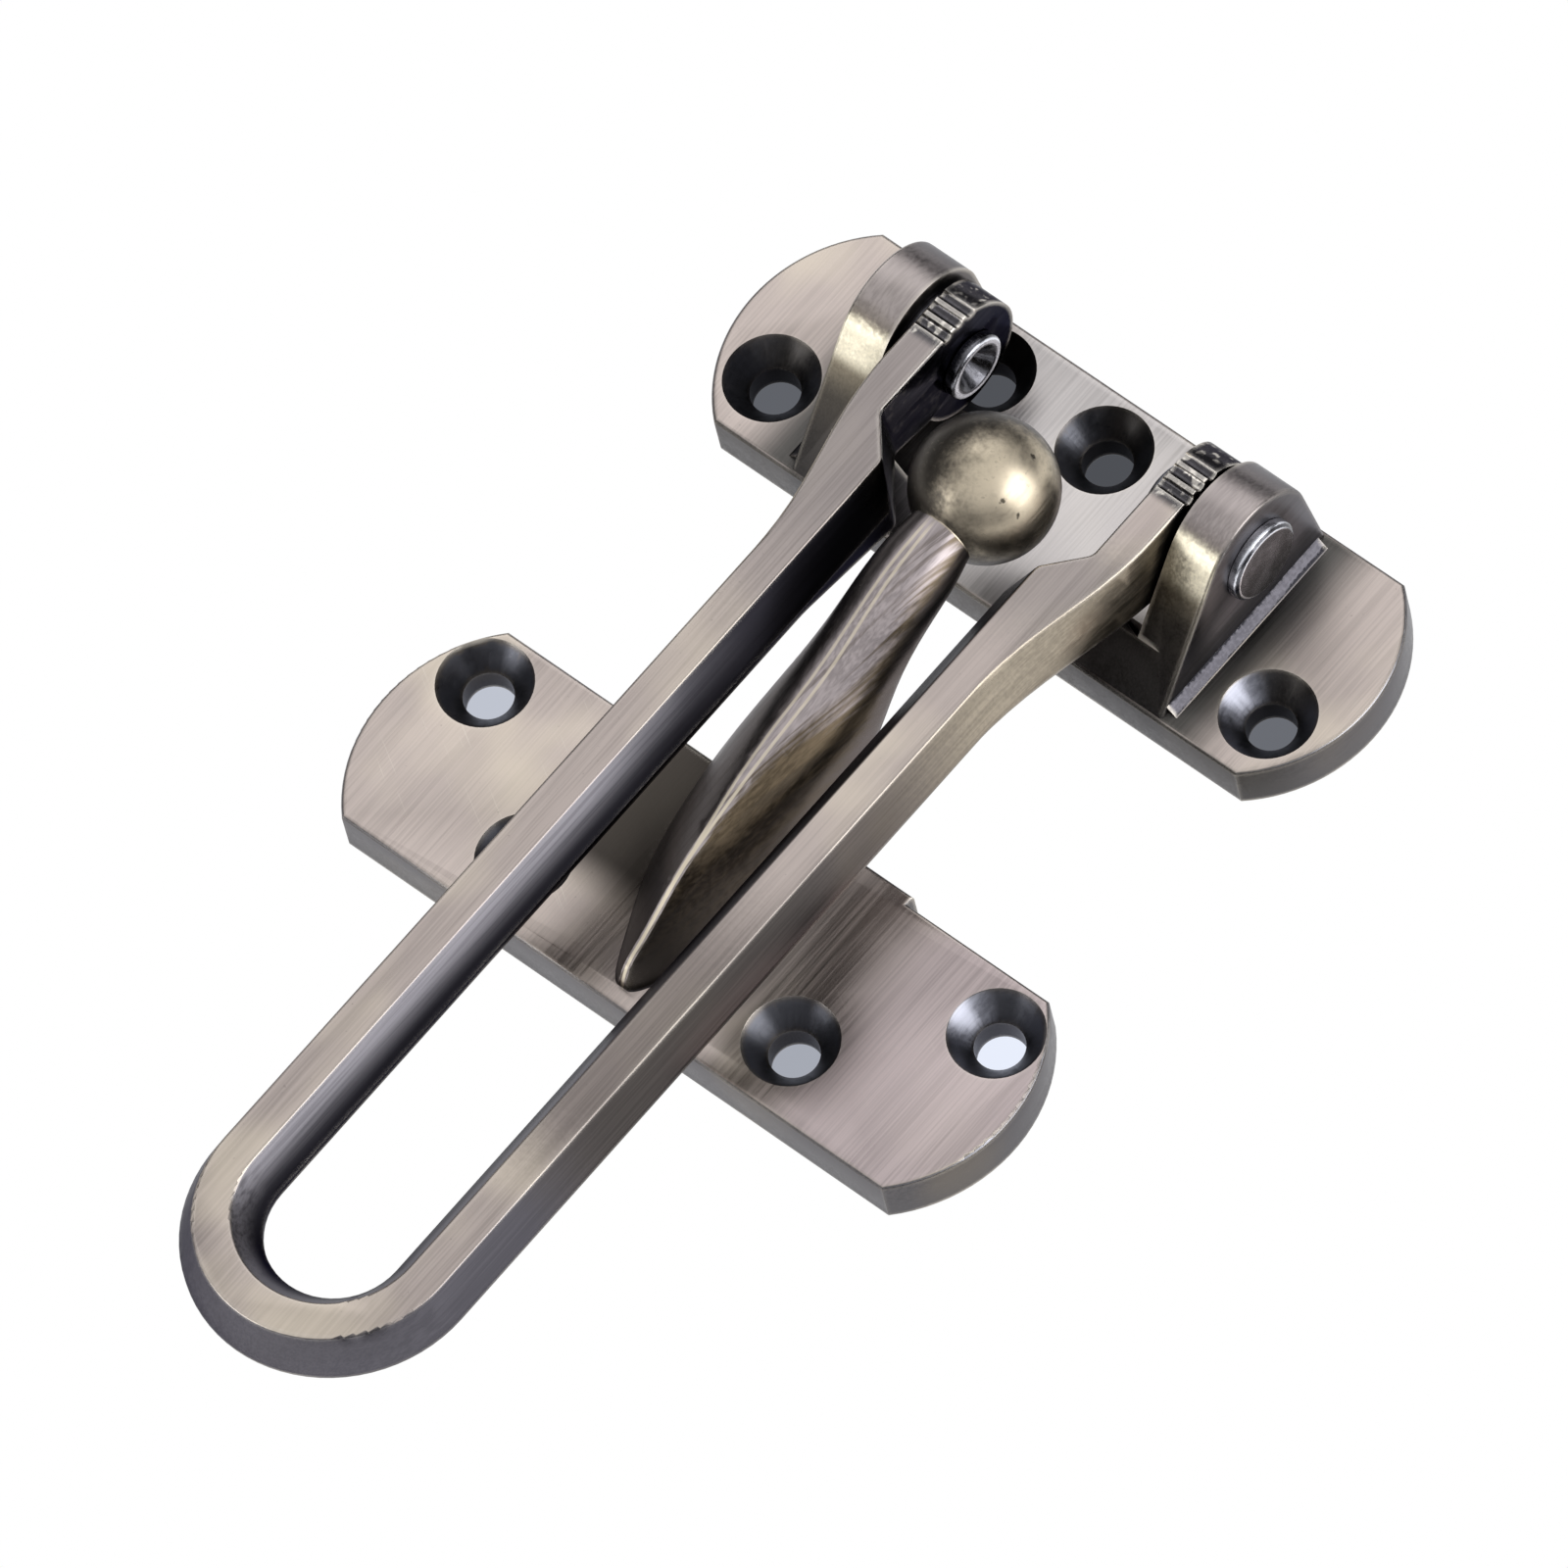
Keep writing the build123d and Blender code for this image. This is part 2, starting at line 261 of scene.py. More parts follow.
    def split(self, vector: Wire) -> tuple[Wire, ...]:
        """Splits a vector into its three numbers."""
        kind = "ShaderNodeSeparateXYZ"
        return tuple(self.node(kind, None, {0: vector}, output=axis) for axis in range(3))

    def place_in_mm(self) -> Wire:
        """Returns Object coordinates in millimetres."""
        inputs = {0: self.node("ShaderNodeTexCoord", output="Object"), "Scale": 1.0 / MM}
        return self.node("ShaderNodeVectorMath", {"operation": "SCALE"}, inputs)

    def metal(
        self, colour: Wire, rough: Wire, rise: Wire, relief: Span, grazing: Colour = WHITE
    ) -> None:
        """Ends a material as bare metal.

        Args:
            colour: The metal's colour.
            rough: Its roughness.
            rise: The fine relief of its surface.
            relief: The relief's strength, and its depth in millimetres.
            grazing: The tint of its grazing reflections, the same all over.
        """
        strength, depth = relief
        inputs = {"Strength": strength, "Distance": depth * MM, "Height": rise}
        bump = self.node("ShaderNodeBump", None, inputs)
        inputs = {
            "Base Color": colour,
            "Metallic": 1.0,
            "Roughness": rough,
            "Specular Tint": (*grazing, 1.0),
            "Normal": bump,
        }
        shader = self.node("ShaderNodeBsdfPrincipled", None, inputs)
        self.node("ShaderNodeOutputMaterial", None, {0: shader})


def blank_material(name: str) -> tuple[bpy.types.Material, Bench]:
    """Makes an empty material and the bench for its nodes."""
    material = bpy.data.materials.new(name)
    material.use_nodes = True
    return material, Bench(material.node_tree)


class Axis(Enum):
    """What a patch is bounded by."""

    ACROSS = "x"
    OUT = "distance from the middle plane"
    ALONG = "y"
    HEIGHT = "z"
    LEVEL = "share of the normal that points up"
    OUTWARD = "share of the normal that points away from the middle plane"
    AHEAD = "share of the normal that points along +Y"


@dataclass(frozen=True)
class Patch:
    """A region of a casting with a colour of its own; some are toning, others painted shade and
    painted highlights.

    Args:
        colour: Its linear colour.
        bounds: Each is an axis, the value where the patch begins and the value where it is full,
            in millimetres or as a share.
        strength: How much of the colour shows where it is full.
        broken: How much of it the grit breaks away.
        ragged: How far its bounds along Y and Z wander, in millimetres.
        rough: Its roughness, or None where it keeps the casting's.
        lumps: How much the cast surface is lumpy.
        painted_glint: How much painted highlight shows in small bright spots.
    """

    colour: Colour
    bounds: tuple[tuple[Axis, float, float], ...]
    strength: float = 1.0
    broken: float = 0.0
    ragged: float = 0.0
    rough: float | None = None
    lumps: float = 0.0
    painted_glint: float = 0.0


@dataclass
class Reading:
    """What a finish reads at each place: where it is, how it faces and its patterns.

    Args:
        bench: Where the nodes are laid.
        seed: Moves the patterns, so that no two castings are alike.
    """

    bench: Bench
    seed: float
    place: Wire = field(init=False)
    facing: Wire = field(init=False)
    axes: dict[Axis, Wire] = field(init=False)
    streak: Wire = field(init=False)
    shade: Wire = field(init=False)
    cloud: Wire = field(init=False)
    grit: Wire = field(init=False)

    def __post_init__(self) -> None:
        """Lays the nodes."""
        bench = self.bench
        self.place = bench.place_in_mm()
        self.facing = bench.node("ShaderNodeTexCoord", output="Normal")
        x, y, z = bench.split(self.place)
        across, ahead, up = bench.split(self.facing)
        self.axes = {
            Axis.ACROSS: x,
            Axis.OUT: bench.maths("ABSOLUTE", x, 0.0),
            Axis.ALONG: y,
            Axis.HEIGHT: z,
            Axis.LEVEL: up,
            Axis.OUTWARD: bench.maths("SIGN", x, 0.0) * across,
            Axis.AHEAD: ahead,
        }
        hair = bench.noise(self.place, (4.2, 0.08, 4.2), 1.0, self.seed)
        fine = bench.noise(self.place, (1.7, 0.03, 1.7), 2.0, self.seed + 3.0)
        broad = bench.noise(self.place, (0.35, 0.02, 0.35), 1.0, self.seed + 5.0)
        self.streak = hair * 0.45 + fine * 0.33 + broad * 0.22
        self.shade = bench.ramp(self.streak, 0.38, 0.62)
        self.cloud = bench.noise(self.place, (0.07, 0.06, 0.07), 2.0, self.seed + 9.0)
        self.grit = bench.noise(self.place, (2.2, 2.2, 2.2), 3.0, self.seed + 13.0)

    def within(self, patch: Patch) -> Wire:
        """Lays a patch's mask.

        Args:
            patch: The patch.

        Returns:
            A value from 0 outside to the patch's strength inside.
        """
        mask: Wire | float = patch.strength
        for axis, low, high in patch.bounds:
            value = self.axes[axis]
            if patch.ragged and axis in (Axis.HEIGHT, Axis.ALONG):
                value = value + (self.grit * 0.6 + self.cloud - 0.8) * patch.ragged
            mask = self.bench.ramp(value, low, high) * mask
        if patch.broken:
            left = 1.0 - patch.broken
            mask = mask * self.bench.ramp(self.grit + self.cloud * 0.5, 0.6, 0.9, 1.0, left)
        return mask

    def brushed(self, colour: Colour, depth: float) -> Wire:
        """Returns a colour with the brush's streaks in it."""
        dark, light = scaled(colour, 1.0 - depth), scaled(colour, 1.0 + depth * 0.7)
        return self.bench.mix(self.shade, dark, light)


@dataclass(frozen=True)
class Ridge:
    """The stud neck's crest: one sharp line at the toe that parts into two along the top.

    Args:
        start: Where the line begins along Y, in millimetres as all lengths here.
        end: Where it ends.
        half_width: Half the width of each line.
        parting: Places along Y, and how far the left line is from the right one there.
        widest: The most that the parting can hold.
        faint: Between which places the lines fade, and how much is left of them.
    """

    start: float = -67.2
    end: float = -14.5
    half_width: float = 0.23
    parting: tuple[Span, ...] = (
        (-67.2, 0.0),
        (-54.0, 0.12),
        (-46.0, 0.8),
        (-40.0, 1.05),
        (-32.5, 1.1),
        (-22.0, 0.85),
        (-14.5, 0.6),
    )
    widest: float = 2.0
    faint: tuple[float, float, float] = (-58.0, -40.0, 0.65)

    def line(self, reading: Reading) -> Wire:
        """Marks the ridge's lines.

        Args:
            reading: The casting's reading.

        Returns:
            A mask that is 1 on the lines.
        """
        bench = reading.bench
        y = reading.axes[Axis.ALONG]
        inputs = {0: y, 1: self.start, 2: self.end, 3: 0.0, 4: 1.0}
        along = bench.node("ShaderNodeMapRange", None, inputs)
        length = self.end - self.start
        stops = [
            ((place - self.start) / length, (apart / self.widest,) * 3)
            for place, apart in self.parting
        ]
        parted = bench.node("ShaderNodeValToRGB", {"stops": stops}, {0: along})
        half = bench.node("ShaderNodeSeparateColor", None, {0: parted}) * self.widest * 0.5
        aside = bench.maths("ABSOLUTE", reading.axes[Axis.ACROSS] + half, 0.0)
        off = bench.maths("ABSOLUTE", aside - half, 0.0)
        line = bench.ramp(off, self.half_width, self.half_width * 0.45)
        full, faded, left = self.faint
        fade = bench.ramp(y, faded, full, left, 1.0)
        ends = bench.ramp(y, self.start, self.start + 1.0)
        ends = ends * bench.ramp(y, self.end, self.end - 3.0)
        return line * ends * fade * bench.ramp(reading.axes[Axis.LEVEL], 0.1, 0.3)


@dataclass(frozen=True)
class Slot:
    """The bar's long slot, whose inner walls are dark, with a painted sheen near their top edge.

    Args:
        loop_centre: Y of the loop's centre, in millimetres as all lengths here.
        wall: The walls' colour.
        sheen: Their colour where light grazes the top edge.
        cool_slate: The outer walls' colour round the loop.
        cool_along: Between which places along Y that colour sets in.
        sheen_height: Between which heights the sheen sets in.
        sheen_along: Between which places along Y it sets in.
    """

    loop_centre: float = -107.5
    wall: Colour = (0.022, 0.021, 0.027)
    sheen: Colour = (0.27, 0.26, 0.285)
    cool_slate: Colour = (0.125, 0.122, 0.145)
    cool_along: Span = (-80.0, -98.0)
    sheen_height: Span = (17.9, 20.9)
    sheen_along: Span = (-30.0, -62.0)

    def skin(self, reading: Reading) -> Wire:
        """Returns the walls' colour, with a painted sheen that grows towards the loop and the top
        edge.
        """
        bench = reading.bench
        pale = bench.ramp(reading.axes[Axis.HEIGHT], *self.sheen_height)
        along = reading.axes[Axis.ALONG] + reading.cloud * 20.0 - 10.0
        pale = pale * bench.ramp(along, *self.sheen_along)
        pale = pale * bench.ramp(reading.streak, 0.35, 0.6, 0.6, 1.0)
        return bench.mix(pale, self.wall, self.sheen)

    def inward(self, reading: Reading) -> Wire:
        """Marks walls that face the slot.

        Args:
            reading: The casting's reading.

        Returns:
            A number above 0 where the wall faces the slot's middle line.
        """
        past_loop = reading.axes[Axis.ALONG] - self.loop_centre
        past_loop = reading.bench.maths("MINIMUM", past_loop, 0.0)
        out = reading.axes[Axis.OUT] * reading.axes[Axis.OUTWARD]
        return (out + past_loop * reading.axes[Axis.AHEAD]) * -0.1


@dataclass(frozen=True)
class Ball:
    """The stud's neck and its ball, which has a painted highlight on the upper right and painted
    shade on the other side.

    Args:
        centre: The ball's centre, in millimetres as all lengths here.
        radius: Its radius.
        duller: How much rougher it is than the rest.
        skin: Its brass where the painted highlight falls.
        dark: Its colour on the other side, painted shade.
        highlight_side: The way in which the painted highlight faces.
        neck: The neck's mauve top.
        flank: Its right side, painted dark as shade.
        olive: The brown strokes between them.
        umber: The right side behind the toe.
        flank_side: The way in which the right side faces.
        pits: The places of three small pits.
    """

    centre: Place = (0.0, -8.4, 20.8)
    radius: float = 7.6
    duller: float = 0.02
    skin: Colour = (0.66, 0.575, 0.44)
    dark: Colour = (0.068, 0.06, 0.05)
    highlight_side: Place = (0.74, -0.08, 0.67)
    neck: Colour = (0.42, 0.372, 0.376)
    flank: Colour = (0.155, 0.134, 0.122)
    olive: Colour = (0.15, 0.115, 0.076)
    umber: Colour = (0.19, 0.163, 0.156)
    flank_side: Place = (1.0, -0.1, -0.2)
    pits: tuple[Place, ...] = (
        (4.06, -4.73, 26.08),
        (4.87, -10.34, 26.3),
        (6.4, -10.09, 24.54),
    )

    def here(self, reading: Reading) -> Wire:
        """Returns 1 on the ball and 0 on the rest of the stud."""
        off = reading.bench.distance(reading.place, self.centre)
        return reading.bench.ramp(off, self.radius + 0.15, self.radius + 0.05)

    def brass(self, reading: Reading) -> Wire:
        """Returns the ball's colour: brass under a painted highlight, mottled into painted shade on
        the other side, with pits.
        """
        bench = reading.bench
        # Brass where the ball faces the highlight side, dark away from it: a painted highlight and
        # painted shade.
        turned = bench.dot(reading.facing, self.highlight_side)
        mottle = bench.noise(reading.place, (0.55, 0.55, 0.55), 3.0, 83.0)
        turned = turned + (mottle - 0.5) * 0.5 + (reading.grit - 0.5) * 0.3
        skin = bench.mix(bench.ramp(turned, 0.3, 1.0), self.dark, self.skin)
        speck = bench.ramp(reading.grit, 0.57, 0.7, 0.0, 0.4) * bench.ramp(mottle, 0.45, 0.65)
        skin = bench.mix(speck, skin, scaled(self.skin, 0.3))
        for spot in self.pits:
            near = bench.distance(reading.place, spot)
            deep = bench.ramp(near + reading.grit * 0.8, 0.78, 0.52, 0.0, 0.85)
            skin = bench.mix(deep, skin, scaled(self.dark, 0.4))
        return skin

    def patina_and_painted_light(self, reading: Reading, plate_top: float) -> Wire:
        """Lays the neck's colour, with painted shade on its flanks.

        Args:
            reading: The casting's reading.
            plate_top: Height of the plate's face.

        Returns:
            A colour that goes from mauve on top through brown strokes to the flanks, which are
            painted dark as shade.
        """
        bench = reading.bench
        along, height = reading.axes[Axis.ALONG], reading.axes[Axis.HEIGHT]
        sideways = bench.dot(reading.facing, self.flank_side)
        stroke = bench.noise(reading.place, (2.3, 0.05, 0.06), 2.0, 71.0, 12.0)
        drift = (stroke - 0.5) * 0.9
        low = bench.ramp(along, -26.0, -46.0, 0.0, 0.55)
        neck = reading.brushed(self.neck, 0.22)
        brown = bench.ramp(sideways + drift + low, 0.34, 0.78)
        neck = bench.mix(brown, neck, reading.brushed(self.olive, 0.3))
        neck = bench.mix(bench.ramp(stroke, 0.5, 0.64, 0.0, 0.4), neck, scaled(self.olive, 0.6))
        # The right flank painted dark: painted shade.
        right = bench.ramp(sideways + drift * 0.4 + low * 0.4, 0.62, 1.02)
        neck = bench.mix(right, neck, self.flank)
        past_toe = bench.ramp(along, -58.0, -51.0, 0.0, 0.8)
        steep = bench.ramp(sideways + drift * 0.2, 0.7, 0.86)
        neck = bench.mix(steep * past_toe, neck, self.umber)
        toe = bench.ramp(along, -54.0, -63.0) * bench.ramp(sideways, -0.2, 0.2)
        neck = bench.mix(toe * 0.8, neck, scaled(self.flank, 0.18))
        # The left flank painted darker too: painted shade.
        left = bench.ramp(sideways, -0.3, -0.62, 0.0, 0.85)
        neck = bench.mix(left, neck, scaled(self.flank, 0.4))
        foot = bench.ramp(height, plate_top + 1.0, plate_top + 0.35, 0.0, 0.9)
        return bench.mix(foot, neck, scaled(self.dark, 0.3))

    def dress(self, reading: Reading, colour: Wire, plate_top: float) -> Wire:
        """Puts the ball's and the neck's colours above the plate.

        Args:
            reading: The casting's reading.
            colour: The colour so far.
            plate_top: Height of the plate's face.

        Returns:
            The new colour.
        """
        bench = reading.bench
        neck = self.patina_and_painted_light(reading, plate_top)
        body = bench.mix(self.here(reading), neck, self.brass(reading))
        above = bench.ramp(reading.axes[Axis.HEIGHT], plate_top + 0.05, plate_top + 0.35)
        return bench.mix(above, colour, body)


@dataclass(frozen=True)
class AntiqueBronze:
    """Brushed antique bronze plating: hollows dark from toning and painted shade, flats lighter and
    walls darker from rubbing and painted reflection, and edges bright from wear and a painted
    highlight.

    Colours are linear, lengths are in millimetres, and the brush runs along Y.

    Args:
        name: The material's name.
        rubbed_and_lit: The flats that face up, light partly from the rubbing and partly as a
            painted reflection of a bright top.
        slate: The walls, which are darker than the flats: partly the finish, partly a painted
            reflection of dark surroundings.
        hollow: Where little of the sky is seen, as toning and painted shade, and in the grit's dark
            specks.
        sink: The countersinks.
        brass: Where the rubbing went deeper, and the stud's ridge lines, which show wear and a
            painted highlight.
        edge: Edges, which show wear and a painted highlight; also scratches and painted glints.
        olive: Clouds on the walls.
        grazing: The tint of grazing reflections.
        top_level: Between which shares of the normal walls turn into flats.
        edge_reach: How deep the look for an edge goes.
        hollow_reach: How far the look for a hollow goes.
        open_air: Between which shares of seen sky a hollow ends.
        hollow_rough: How much rougher a hollow is.
        roughness: The roughness of streaks, from the smoothest to the roughest.
        edge_kept: How much of the edges shows wear and painted highlight, from the least to the
            most.
        relief: The streaks' strength, and their depth.
        plate_top: Height of the plates' faces.
        ridge: The stud's ridge, if any.
        slot: The bar's slot, if any.
        ball: The stud's ball, if any.
        patches: Regions with a colour of their own, some toning, others painted shade and painted
            highlights, later ones on top.
        scratches: How strong the scratches across the flats are.
        bright_edges: Between which places along Y all edges turn fully bright, a painted highlight.
        seed: Moves the patterns.
    """

    name: str
    rubbed_and_lit: Colour = (0.5, 0.435, 0.405)
    slate: Colour = (0.115, 0.108, 0.112)
    hollow: Colour = (0.026, 0.024, 0.026)
    sink: Colour = (0.11, 0.113, 0.13)
    brass: Colour = (0.84, 0.75, 0.59)
    edge: Colour = (0.8, 0.745, 0.66)
    olive: Colour = (0.21, 0.18, 0.14)
    grazing: Colour = (0.88, 0.88, 0.9)
    top_level: Span = (0.74, 0.97)
    edge_reach: float = 0.55
    hollow_reach: float = 9.0
    open_air: Span = (0.1, 0.6)
    hollow_rough: float = 0.12
    roughness: Span = (0.27, 0.4)
    edge_kept: Span = (0.35, 0.85)
    relief: Span = (0.35, 0.05)
    plate_top: float = 5.6
    ridge: Ridge | None = None
    slot: Slot | None = None
    ball: Ball | None = None
    patches: tuple[Patch, ...] = ()
    scratches: float = 0.0
    bright_edges: Span | None = None
    seed: float = 0.0

    def build(self) -> bpy.types.Material:
        """Lays the material's nodes and returns it."""
        material, bench = blank_material(self.name)
        reading = Reading(bench, self.seed)
        air = bench.ramp(self.sky_seen(bench), *self.open_air)
        rough = bench.ramp(reading.streak, 0.3, 0.7, *self.roughness)
        rough = rough + (1.0 - air) * self.hollow_rough
        if self.ball:
            rough = rough + self.ball.here(reading) * self.ball.duller
        colour = bench.mix(self.sinks(reading), self.patina_and_painted_light(reading), self.sink)
        colour, rough, rise = self.patched(reading, colour, rough)
        # Places that see little sky turn dark: toning in the hollows, and painted shade where walls
        # and parts shade each other.
        colour = bench.mix(air, self.hollow, colour)
        # The edges and the stud's ridge lines show wear and a painted highlight.
        colour = bench.mix(self.edge_wear_and_highlight(reading) * 0.9, colour, self.edge)
        if self.ridge:
            colour = bench.mix(self.ridge.line(reading) * 0.9, colour, self.brass)
        bench.metal(colour, rough, rise, self.relief, self.grazing)
        return material

    def patina_and_painted_light(self, reading: Reading) -> Wire:
        """Lays the flats' metal, the walls' slate and the stud's own skin, the flats lighter and
        the walls darker partly as painted reflection.

        Args:
            reading: The casting's reading.

        Returns:
            The colour, before patches, hollows and the edges' wear and painted highlight.
        """
        bench = reading.bench
        wall = reading.brushed(self.slate, 0.2)
        wall = bench.mix(bench.ramp(reading.cloud, 0.45, 0.75, 0.0, 0.5), wall, self.olive)
        if self.slot:
            cool = bench.ramp(reading.axes[Axis.ALONG], *self.slot.cool_along, 0.0, 0.85)
            wall = bench.mix(cool, wall, reading.brushed(self.slot.cool_slate, 0.12))
            inside = bench.ramp(self.slot.inward(reading), 0.0, 0.15)
            wall = bench.mix(inside, wall, self.slot.skin(reading))
        flat = reading.brushed(self.rubbed_and_lit, 0.15)
        flat = bench.mix(bench.ramp(reading.cloud, 0.45, 0.75, 0.0, 0.45), flat, self.brass)
        flat = bench.mix(bench.ramp(reading.grit, 0.7, 0.78, 0.0, 0.3), flat, self.hollow)
        if self.scratches:
            scratch = bench.noise(reading.place, (0.12, 4.5, 0.3), 1.0, self.seed + 33.0, 31.0)
            scratch = bench.ramp(scratch, 0.7, 0.76, 0.0, self.scratches)
            flat = bench.mix(scratch * bench.ramp(reading.cloud, 0.42, 0.55), flat, self.edge)
        # Flats that face up lighter and walls darker: partly the rubbing, partly a painted
        # reflection of a bright top and dark surroundings.
        colour = bench.mix(bench.ramp(reading.axes[Axis.LEVEL], *self.top_level), wall, flat)
        if self.ball:
            colour = self.ball.dress(reading, colour, self.plate_top)
        return colour

    def sinks(self, reading: Reading) -> Wire:
        """Marks the countersinks, by how their walls face and where they lie."""
        bench, level = reading.bench, reading.axes[Axis.LEVEL]
        mask = bench.ramp(level, 0.6, 0.63) * bench.ramp(level, 0.72, 0.68)
        height = reading.axes[Axis.HEIGHT]
        return mask * bench.ramp(height, self.plate_top + 0.05, self.plate_top - 0.1)

    def patched(self, reading: Reading, colour: Wire, rough: Wire) -> tuple[Wire, Wire, Wire]:
        """Lays the patches.

        Args:
            reading: The casting's reading.
            colour: The colour so far.
            rough: The roughness so far.

        Returns:
            The new colour and roughness, and the relief of streaks and lumps.
        """
        bench = reading.bench
        rise = reading.streak * 0.3
        if any(patch.lumps or patch.painted_glint for patch in self.patches):
            lump = bench.noise(reading.place, (0.9, 0.9, 0.9), 1.0, self.seed + 21.0)
            spark = bench.noise(reading.place, (1.1, 0.7, 1.1), 2.0, self.seed + 27.0)
        for patch in self.patches:
            mask = reading.within(patch)
            colour = bench.mix(mask, colour, reading.brushed(patch.colour, 0.16))
            if patch.rough is not None:
                rough = rough + (patch.rough - rough) * mask
            if patch.lumps:
                rise = rise + lump * mask * patch.lumps
            if patch.painted_glint:
                spots = mask * bench.ramp(spark, 0.54, 0.68, 0.0, patch.painted_glint)
                colour = bench.mix(spots, colour, self.edge)
        return colour, rough, rise

    def edge_wear_and_highlight(self, reading: Reading) -> Wire:
        """Marks the edges' wear and painted highlight, which come and go with the clouds."""
        bench = reading.bench
        kept = bench.ramp(reading.cloud, 0.38, 0.66, *self.edge_kept)
        if self.bright_edges:
            bright = bench.ramp(reading.axes[Axis.ALONG], *self.bright_edges)
            kept = bench.maths("MAXIMUM", kept, bright)
        return bench.ramp(self.edge_seen(bench), 0.92, 0.55) * kept

    def sky_seen(self, bench: Bench) -> Wire:
        """Returns how open a place is, from 0 in a deep hollow to 1 in the open."""
        inputs = {"Distance": self.hollow_reach * MM}
        return bench.node("ShaderNodeAmbientOcclusion", {"samples": 2}, inputs, output="AO")

    def edge_seen(self, bench: Bench) -> Wire:
        """Returns how thick the metal is just under a place, low at its outer edges."""
        inputs = {"Distance": self.edge_reach * MM}
        settings = {"samples": 2, "inside": True}
        return bench.node("ShaderNodeAmbientOcclusion", settings, inputs, output="AO")


@dataclass(frozen=True)
class PlatedSteel:
    """Dark plated steel with bright rings painted on the rivet's ends as highlights.

    Args:
        name: The material's name.
        bright: The rings' linear colour.
        grime: The rest's.
        axis: A point of the hinge's axis, in millimetres as all lengths here.
        rings: The radius of each ring about that axis, and half its width.
        one_side: Whether the rings shine only on the side that faces up and along -Y.
        roughness: From the smoothest to the roughest place.
        relief: The grain's strength, and its depth.
        seed: Moves the patterns.
    """

    name: str
    bright: Colour = (0.86, 0.88, 0.95)
    grime: Colour = (0.085, 0.085, 0.095)
    axis: Place = (0.0, 3.7, 14.6)
    rings: tuple[Span, ...] = ()
    one_side: bool = False
    roughness: Span = (0.16, 0.3)
    relief: Span = (0.2, 0.04)
    seed: float = 0.0

    def build(self) -> bpy.types.Material:
        """Lays the material's nodes and returns it."""
        material, bench = blank_material(self.name)
        place = bench.place_in_mm()
        cloud = bench.noise(place, (0.5, 0.5, 0.5), 4.0, self.seed)
        fine = bench.noise(place, (3.0, 3.0, 3.0), 3.0, self.seed + 3.0)
        colour = bench.mix(bench.ramp(cloud, 0.35, 0.7), self.grime, scaled(self.grime, 2.2))
        inputs = {0: place, 1: self.axis}
        off = bench.node("ShaderNodeVectorMath", {"operation": "SUBTRACT"}, inputs)
        inputs = {0: off, 1: (0.0, 1.0, 1.0)}
        off_axis = bench.node("ShaderNodeVectorMath", {"operation": "MULTIPLY"}, inputs)
        radius = bench.distance(off_axis, (0.0, 0.0, 0.0))
        # Each ring is a painted highlight; one_side keeps it to the lit side.
        for middle, half in self.rings:
            away = bench.maths("ABSOLUTE", radius - middle, 0.0)
            ring = bench.ramp(away + (fine - 0.5) * 0.12, half, half * 0.5)
            if self.one_side:
                lit = bench.dot(off_axis, (0.0, -1.0, 1.0))
                ring = ring * bench.ramp(lit, -2.2, 1.2, 0.12, 1.0)
            colour = bench.mix(ring, colour, self.bright)
        rough = bench.ramp(fine, 0.3, 0.7, *self.roughness)
        bench.metal(colour, rough, fine, self.relief)
        return material


FLAT_TOP = (Axis.LEVEL, 0.9, 0.97)
PLATE_FACE = (Axis.HEIGHT, 5.8, 5.7)
EAR_FRONT = (Axis.AHEAD, -0.3, -0.75)
FOOT_SLOPE = ((Axis.OUTWARD, 0.45, 0.62), (Axis.OUTWARD, 0.85, 0.8), (Axis.LEVEL, 0.5, 0.62))

# The outer halves of the right-hand countersinks, which catch the light.
LIT_SINKS = Patch(
    (0.42, 0.43, 0.5),
    (
        (Axis.ACROSS, 20.0, 26.0),
        (Axis.OUTWARD, 0.45, 0.68),
        (Axis.LEVEL, 0.6, 0.63),
        (Axis.LEVEL, 0.76, 0.72),
        (Axis.HEIGHT, 5.6, 5.45),
    ),
    0.8,
)

